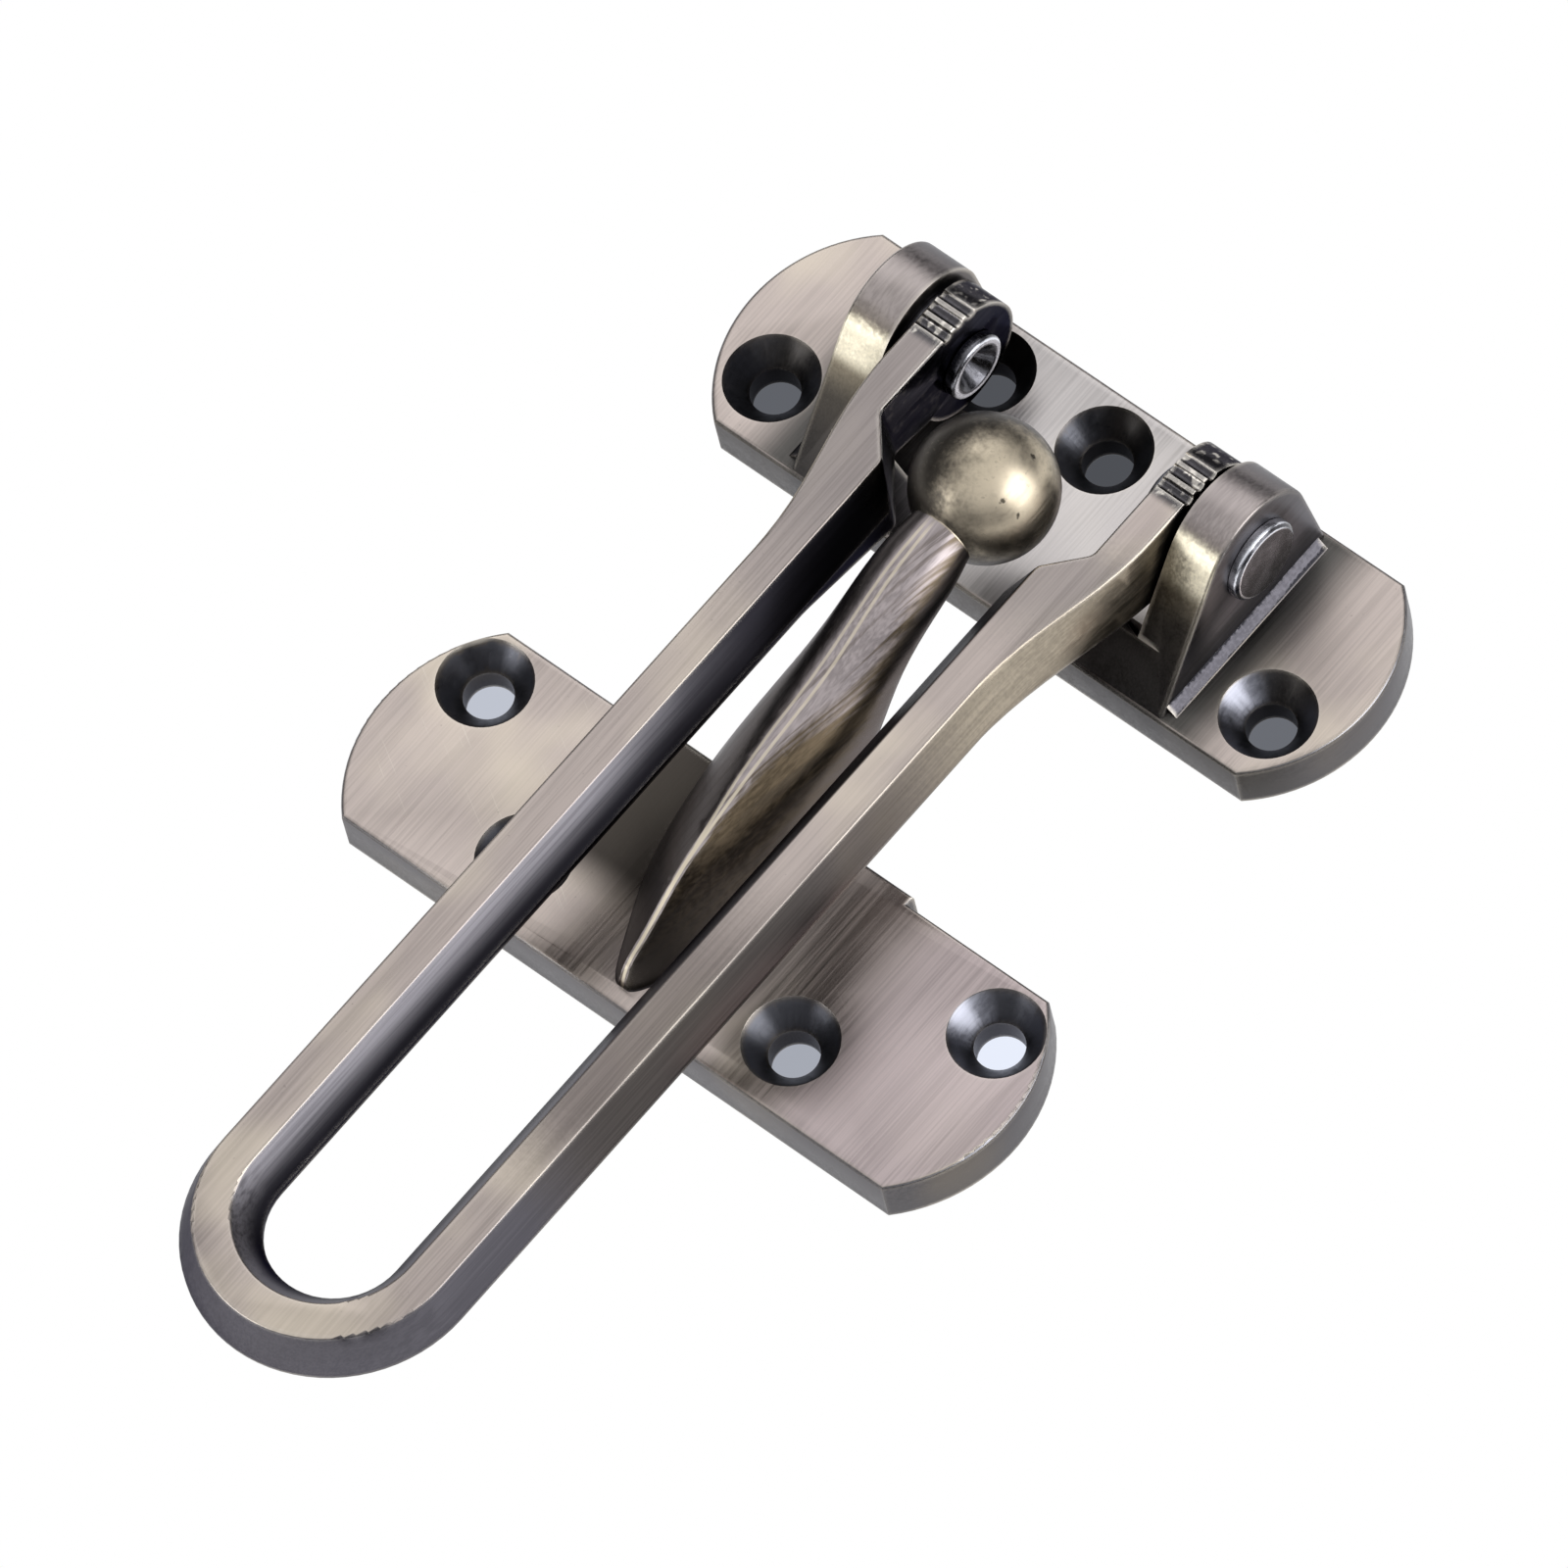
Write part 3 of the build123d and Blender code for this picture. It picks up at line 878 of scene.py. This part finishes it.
BRACKET_PATCHES = (
    LIT_SINKS,
    # The plate's middle, paler.
    Patch((0.54, 0.52, 0.52), ((Axis.OUT, 20.0, 13.0), PLATE_FACE, FLAT_TOP), 0.8),
    # The ears' rounded tops.
    Patch(
        (0.37, 0.33, 0.325),
        ((Axis.HEIGHT, 15.0, 17.0), (Axis.LEVEL, 0.35, 0.8), (Axis.AHEAD, -0.85, -0.3)),
        0.9,
    ),
    # The ears' backs, darker: painted shade.
    Patch((0.11, 0.105, 0.11), ((Axis.HEIGHT, 6.5, 8.0), (Axis.AHEAD, 0.25, 0.9)), 0.9),
    # The ears' outer sides, darker towards their tops.
    Patch(
        (0.165, 0.16, 0.175),
        ((Axis.HEIGHT, 21.5, 9.5), (Axis.HEIGHT, 5.9, 6.3), (Axis.OUTWARD, 0.75, 0.95)),
    ),
    # The ears' fronts: brown, nearly black at the foot as painted shade, golden higher up, with a
    # painted highlight band at one height.
    Patch((0.125, 0.105, 0.08), ((Axis.HEIGHT, 5.9, 6.4), EAR_FRONT)),
    Patch((0.045, 0.04, 0.034), ((Axis.HEIGHT, 13.0, 7.0), EAR_FRONT), 0.85),
    Patch(
        (0.26, 0.225, 0.165),
        ((Axis.HEIGHT, 9.5, 15.0), (Axis.HEIGHT, 21.0, 19.5), (Axis.AHEAD, -0.3, -0.55)),
        0.9,
        broken=0.3,
    ),
    Patch(
        (0.8, 0.74, 0.58),
        ((Axis.HEIGHT, 16.0, 17.6), (Axis.HEIGHT, 21.2, 20.2), (Axis.AHEAD, -0.42, -0.6)),
        broken=0.25,
        ragged=1.2,
    ),
    # Painted shadow on the plate close beside the ears' feet.
    Patch(
        (0.07, 0.07, 0.067),
        ((Axis.OUT, 31.5, 25.5), (Axis.OUT, 23.0, 23.8), PLATE_FACE, FLAT_TOP),
        0.93,
    ),
    # Painted shadow on the plate's front under the arms.
    Patch(
        (0.03, 0.028, 0.028),
        ((Axis.OUT, 10.0, 15.0), (Axis.OUT, 25.0, 23.0), (Axis.ALONG, -3.0, -7.0)),
        0.85,
    ),
    # Painted shade on the ears' sloped feet, and the paler line at their lower edge.
    Patch(
        (0.02, 0.02, 0.024),
        (*FOOT_SLOPE, (Axis.HEIGHT, 8.0, 7.2), (Axis.HEIGHT, 5.62, 5.75)),
    ),
    Patch(
        (0.112, 0.108, 0.124),
        (*FOOT_SLOPE, (Axis.HEIGHT, 6.75, 6.6), (Axis.HEIGHT, 5.75, 5.9)),
        broken=0.35,
        ragged=0.9,
    ),
)

BAR_PATCHES = (
    # The outer walls near the roots, brassy and light: a painted reflection.
    Patch(
        (0.46, 0.4, 0.315),
        ((Axis.ALONG, -46.0, -24.0), (Axis.OUTWARD, 0.35, 0.7), (Axis.ALONG, 0.5, -1.5)),
        0.95,
        broken=0.2,
    ),
    # The right arm's top, darker at its middle and beside the pocket.
    Patch(
        (0.15, 0.13, 0.122),
        (FLAT_TOP, (Axis.ACROSS, 2.0, 6.0), (Axis.ALONG, -96.0, -84.0), (Axis.ALONG, -52.0, -68.0)),
        0.72,
        ragged=6.0,
    ),
    Patch(
        (0.26, 0.235, 0.23),
        (FLAT_TOP, (Axis.ACROSS, 5.0, 9.0), (Axis.ALONG, -24.0, -15.0), (Axis.ALONG, -4.0, -9.0)),
        0.6,
        ragged=5.0,
    ),
    # The left arm's top towards the hinge.
    Patch(
        (0.25, 0.225, 0.222),
        (FLAT_TOP, (Axis.ACROSS, -4.0, -8.0), (Axis.ALONG, -42.0, -16.0)),
        0.75,
        ragged=8.0,
    ),
    # The outer walls' middle.
    Patch(
        (0.08, 0.072, 0.068),
        ((Axis.OUTWARD, 0.45, 0.75), (Axis.ALONG, -98.0, -82.0), (Axis.ALONG, -44.0, -56.0)),
        0.8,
        ragged=6.0,
    ),
    # The ball pockets' walls, with a few painted glints.
    Patch(
        (0.048, 0.047, 0.054),
        ((Axis.OUTWARD, -0.4, -0.8), (Axis.ALONG, -18.0, -12.0)),
        rough=0.16,
        lumps=0.5,
        painted_glint=0.05,
    ),
    # The knuckles, and their notched tops with bright spots, painted glints.
    Patch((0.034, 0.034, 0.043), ((Axis.ALONG, 0.3, 1.6),), 0.97, rough=0.2, lumps=0.6),
    Patch(
        (0.075, 0.072, 0.078),
        ((Axis.ALONG, 0.0, 1.2), (Axis.LEVEL, 0.15, 0.5)),
        0.9,
        rough=0.22,
        lumps=1.0,
        painted_glint=0.75,
    ),
)

STUD_PATCHES = (
    # The plate's right end.
    Patch((0.46, 0.39, 0.395), ((Axis.ACROSS, 14.0, 24.0), PLATE_FACE, FLAT_TOP), 0.85),
    # The plate behind the neck's toe, in the shade of neck and arms.
    Patch(
        (0.03, 0.026, 0.023),
        (PLATE_FACE, (Axis.OUT, 19.0, 12.0), (Axis.ACROSS, 13.0, 6.0), (Axis.ALONG, -62.0, -56.5)),
        0.94,
    ),
    LIT_SINKS,
)


# Painted highlight rings on what is seen of the rivets: the left one's dished tail and the right
# one's flat head.
TAIL_RINGS = ((3.25, 0.4), (0.9, 0.5))
HEAD_RINGS = ((4.5, 0.16), (4.02, 0.14))


@dataclass
class Casting:
    """A metal piece of the frame that gets rounded edges and a finish.

    Args:
        node: The CAD node it stands for.
        body: The rigid body that it rides on.
        slot: The record's material slot; not used.
        finish: What all of it is finished with.
        edge_round: Radius of the small rounding on its sharp edges.
        edge_segments: Faces across that rounding.
        weld: How close points are merged.
        flat_angle: Faces within this angle are joined, in degrees.
        sharp_angle: Edges over this angle are rounded.
        smooth_angle: Edges up to this angle are shaded smooth.
    """

    node: str
    body: Body
    slot: str
    finish: AntiqueBronze | PlatedSteel
    edge_round: float = 0.22 * MM
    edge_segments: int = 3
    weld: float = 0.004 * MM
    flat_angle: float = 0.6
    sharp_angle: float = 38.0
    smooth_angle: float = 32.0
    piece: bpy.types.Object | None = field(default=None, init=False)

    def build(self, frame: dict[str, Any]) -> None:
        """Copies the node, rounds and dresses the copy.
        """
        self.piece = self.copy_of(frame["nodes"][self.node])
        self.round_edges()
        self.piece.data.materials.clear()
        self.piece.data.materials.append(self.finish.build())
        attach(self.piece, self.body.value)
        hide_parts(self.node)
        LOG.info("%s: %d faces", self.piece.name, len(self.piece.data.polygons))

    def copy_of(self, source: bpy.types.Object) -> bpy.types.Object:
        """Duplicates a CAD node, welds its loose triangles and joins its flat faces.

        Args:
            source: The CAD node's object.

        Returns:
            The copy, which is selected and active.
        """
        bpy.ops.object.select_all(action="DESELECT")
        source.select_set(True)
        bpy.context.view_layer.objects.active = source
        bpy.ops.object.duplicate()
        piece = bpy.context.active_object
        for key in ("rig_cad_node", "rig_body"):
            del piece[key]
        piece.parent = None
        piece.name = f"{self.node}_cast"
        bpy.ops.object.mode_set(mode="EDIT")
        bpy.ops.mesh.customdata_custom_splitnormals_clear()
        bpy.ops.mesh.select_all(action="SELECT")
        bpy.ops.mesh.remove_doubles(threshold=self.weld)
        bpy.ops.mesh.dissolve_limited(angle_limit=math.radians(self.flat_angle))
        bpy.ops.object.mode_set(mode="OBJECT")
        return piece

    def round_edges(self) -> None:
        """Rounds the copy's sharp edges and shades it smooth."""
        bevel = self.piece.modifiers.new("edge_round", "BEVEL")
        bevel.width = self.edge_round
        bevel.segments = self.edge_segments
        bevel.limit_method = "ANGLE"
        bevel.angle_limit = math.radians(self.sharp_angle)
        bevel.use_clamp_overlap = True
        bevel.harden_normals = False
        bpy.ops.object.modifier_apply(modifier=bevel.name)
        bpy.ops.object.shade_smooth_by_angle(angle=math.radians(self.smooth_angle))


@dataclass
class HingeBracket(Casting):
    """The door frame's plate with its two ears."""

    node: str = "hinge_bracket"
    body: Body = Body.PLATES
    slot: str = "bracket_metal"
    finish: AntiqueBronze = AntiqueBronze("bracket_bronze", patches=BRACKET_PATCHES, seed=2.0)


@dataclass
class SwingBar(Casting):
    """The U-shaped bar, browner and duller at grazing angles than the plates."""

    node: str = "swing_bar"
    body: Body = Body.BAR
    slot: str = "bar_metal"
    finish: AntiqueBronze = AntiqueBronze(
        "bar_bronze",
        rubbed_and_lit=(0.43, 0.374, 0.35),
        slate=(0.14, 0.122, 0.118),
        edge=(0.8, 0.755, 0.69),
        grazing=(0.4, 0.4, 0.42),
        top_level=(0.62, 0.84),
        slot=Slot(),
        patches=BAR_PATCHES,
        bright_edges=(-17.0, -13.0),
        seed=31.0,
    )


@dataclass
class StudPlate(Casting):
    """The door leaf's plate with its neck and ball."""

    node: str = "stud_plate"
    body: Body = Body.PLATES
    slot: str = "stud_metal"
    finish: AntiqueBronze = AntiqueBronze(
        "stud_bronze",
        ridge=Ridge(),
        ball=Ball(),
        patches=STUD_PATCHES,
        scratches=0.3,
        seed=57.0,
    )


@dataclass
class HingeEnd:
    """One end of the hinge: the rivet through ear and knuckle, and the washer between them.

    Args:
        side: Which end it is.
        rings: The rivet's painted highlight rings, as PlatedSteel takes them.
        one_side: Whether the rings shine on one side only.
        rivet_edge: Radius of the rounding on the rivet's edges.
        washer_edge: Radius of the rounding on the washer's edges.
    """

    side: Side
    rings: tuple[Span, ...]
    one_side: bool = False
    rivet_edge: float = 0.1 * MM
    washer_edge: float = 0.05 * MM

    def build(self, frame: dict[str, Any]) -> None:
        """Builds the rivet and the washer.
        """
        side = self.side.value
        steel = PlatedSteel(
            f"{side}_rivet_steel", rings=self.rings, one_side=self.one_side, seed=4.0
        )
        rivet = Casting(
            f"{side}_hinge_rivet", Body.PLATES, "rivet_steel", steel, self.rivet_edge
        )
        rivet.build(frame)
        steel = PlatedSteel(f"{side}_washer_steel", seed=7.0)
        washer = Casting(
            f"{side}_friction_washer", Body.PLATES, "washer_steel", steel, self.washer_edge
        )
        washer.build(frame)


@dataclass(frozen=True)
class Softbox:
    """A square lamp.

    Args:
        name: Its name.
        place: Where it hangs, in metres.
        side: Length of its side.
        watts: Its power.
    """

    name: str
    place: Place
    side: float
    watts: float


@dataclass
class Studio:
    """Camera, floor, world and lamps.

    The camera stands on the photograph's line of sight, far off with a long lens, because the
    photograph shows next to no perspective.

    Args:
        azimuth: How far the camera stands round from the front, in degrees.
        elevation: How high it stands, in degrees.
        roll: How far it is turned about its sight, in degrees.
        right_shift: How far left of the origin the picture's middle lies, in metres.
        up_shift: How far below the origin it lies.
        frame_width: The picture's width at the guard.
        distance: How far off the camera stands.
        sensor: Width of its sensor, in millimetres.
        mid_depth: How far before the origin the guard's middle lies.
        sight_end: Where the camera stops seeing.
        floor_size: Length of the floor's side.
        floor_y: Y of its middle.
        floor_drop: How far it lies below the plates' backs.
        floor_matt: Its lit colour.
        hole_edge: How far from a hole's axis white begins to be shaded, and ends.
        hole_shadow_tint: The tint of the painted shadow on the floor under the screw holes.
        screw_holes: X and Y of each hole in millimetres, and how bright its painted shadow on the
            floor is.
        sky: The world's colours by height, from straight down to straight up.
        sky_strength: How bright the world is.
        aim: What the lamps face.
        lamps: The lamps.
    """

    azimuth: float = 53.37
    elevation: float = 60.67
    roll: float = -15.19
    right_shift: float = 27.64 * MM
    up_shift: float = 25.08 * MM
    frame_width: float = 153.5 * MM
    distance: float = 3.0
    sensor: float = 36.0
    mid_depth: float = 0.018
    sight_end: float = 20.0
    floor_size: float = 6.0
    floor_y: float = -50.0 * MM
    floor_drop: float = 0.2 * MM
    floor_matt: Colour = (0.62, 0.62, 0.63)
    hole_edge: Span = (3.4 * MM, 2.6 * MM)
    hole_shadow_tint: Colour = (0.9, 0.95, 1.08)
    screw_holes: tuple[Place, ...] = (
        (-32.0, -6.0, 0.13),
        (32.0, -6.0, 0.16),
        (-15.2, 7.2, 0.09),
        (0.0, 7.2, 0.085),
        (15.2, 7.2, 0.05),
        (-33.0, -49.0, 0.58),
        (33.0, -49.0, 0.9),
        (-17.2, -61.6, 0.3),
        (17.2, -61.6, 0.42),
    )
    sky: tuple[tuple[float, Colour], ...] = (
        (0.0, (0.05, 0.05, 0.055)),
        (0.3, (0.22, 0.22, 0.23)),
        (0.62, (0.85, 0.85, 0.86)),
        (1.0, WHITE),
    )
    sky_strength: float = 0.85
    aim: Place = (0.0, -0.05, 0.0)
    lamps: tuple[Softbox, ...] = (
        Softbox("back_softbox", (-0.45, 0.55, 0.75), 0.7, 1.0),
        Softbox("right_softbox", (0.85, 0.3, 0.42), 0.75, 5.0),
        Softbox("front_softbox", (-0.4, -0.82, 0.32), 0.5, 1.9),
    )

    def sight(self) -> tuple[Vector, Vector, Vector]:
        """Works out the camera's axes.

        Returns:
            The vectors to the right, up and back of the camera.
        """
        turn, rise, roll = (math.radians(a) for a in (self.azimuth, self.elevation, self.roll))
        flat_right = Vector((math.cos(turn), math.sin(turn), 0.0))
        back = Vector(
            (math.sin(turn) * math.cos(rise), -math.cos(turn) * math.cos(rise), math.sin(rise))
        )
        flat_up = back.cross(flat_right)
        right = flat_right * math.cos(roll) + flat_up * math.sin(roll)
        up = flat_up * math.cos(roll) - flat_right * math.sin(roll)
        return right, up, back

    def place_camera(self) -> None:
        """Sets the camera up and makes it the scene's."""
        right, up, back = self.sight()
        centre = -right * self.right_shift - up * self.up_shift + back * self.mid_depth
        data = bpy.data.cameras.new("long_lens")
        data.sensor_width = self.sensor
        data.lens = self.sensor * self.distance / self.frame_width
        data.clip_end = self.sight_end
        camera = bpy.data.objects.new("long_lens", data)
        turned = Matrix((right, up, back)).transposed().to_4x4()
        camera.matrix_world = Matrix.Translation(centre + back * self.distance) @ turned
        bpy.context.scene.collection.objects.link(camera)
        bpy.context.scene.camera = camera

    def lay_floor(self) -> None:
        """Lays a white sweep under the guard, with a painted shadow under each screw hole."""
        middle = (0.0, self.floor_y, -self.floor_drop)
        bpy.ops.mesh.primitive_plane_add(size=self.floor_size, location=middle)
        floor = bpy.context.active_object
        floor.name = "studio_floor"
        material, bench = blank_material("white_floor")
        seen = self.seen_by_lens(bench)
        matt = bench.node("ShaderNodeBsdfDiffuse", None, {"Color": (*self.floor_matt, 1.0)})
        white: Wire | Colour = WHITE
        place = bench.node("ShaderNodeTexCoord", output="Object")
        # A painted shadow on the floor under each screw hole.
        for x, y, shade in self.screw_holes:
            off = bench.distance(place, (x * MM, y * MM - self.floor_y, 0.0))
            near = bench.ramp(off, *self.hole_edge)
            white = bench.mix(near, white, scaled(self.hole_shadow_tint, shade))
        glow = bench.node("ShaderNodeEmission", None, {"Color": white, "Strength": 1.0})
        mixed = bench.node("ShaderNodeMixShader", None, {0: seen, 1: matt, 2: glow})
        bench.node("ShaderNodeOutputMaterial", None, {0: mixed})
        floor.data.materials.append(material)

    def light_world(self) -> None:
        """Gives the world a bright top and a darker horizon."""
        world = bpy.data.worlds.new("studio_world")
        world.use_nodes = True
        bpy.context.scene.world = world
        bench = Bench(world.node_tree)
        direction = bench.node("ShaderNodeTexCoord", output="Generated")
        height = bench.node("ShaderNodeSeparateXYZ", None, {0: direction}, output=2)
        sky = bench.node("ShaderNodeValToRGB", {"stops": self.sky}, {0: height})
        lit = bench.node("ShaderNodeBackground", None, {0: sky, 1: self.sky_strength})
        bench.node("ShaderNodeOutputWorld", None, {0: lit})

    @staticmethod
    def seen_by_lens(bench: Bench) -> Wire:
        """Returns 1 for the camera's rays and for those that mirrors or glass pass on."""
        seen = bench.node("ShaderNodeLightPath", output="Is Camera Ray")
        for kind in ("Is Glossy Ray", "Is Transmission Ray"):
            seen = bench.maths("MAXIMUM", seen, bench.node("ShaderNodeLightPath", output=kind))
        return seen

    def hang(self, lamp: Softbox) -> None:
        """Hangs one lamp, which faces the guard."""
        data = bpy.data.lights.new(lamp.name, "AREA")
        data.size = lamp.side
        data.energy = lamp.watts
        hung = bpy.data.objects.new(lamp.name, data)
        hung.location = lamp.place
        hung.rotation_mode = "QUATERNION"
        beam = Vector(self.aim) - Vector(lamp.place)
        hung.rotation_quaternion = beam.to_track_quat("-Z", "Y")
        bpy.context.scene.collection.objects.link(hung)

    def build(self) -> None:
        """Sets up the whole studio."""
        bpy.context.scene.view_settings.view_transform = "Standard"
        self.place_camera()
        self.lay_floor()
        self.light_world()
        for lamp in self.lamps:
            self.hang(lamp)


def main() -> None:
    """Builds every piece and the studio."""
    logging.basicConfig(level=logging.INFO, format="%(name)s %(message)s")
    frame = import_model()
    HingeBracket().build(frame)
    SwingBar().build(frame)
    StudPlate().build(frame)
    HingeEnd(Side.LEFT, TAIL_RINGS).build(frame)
    HingeEnd(Side.RIGHT, HEAD_RINGS, one_side=True).build(frame)
    Studio().build()


if __name__ == "__main__":
    main()
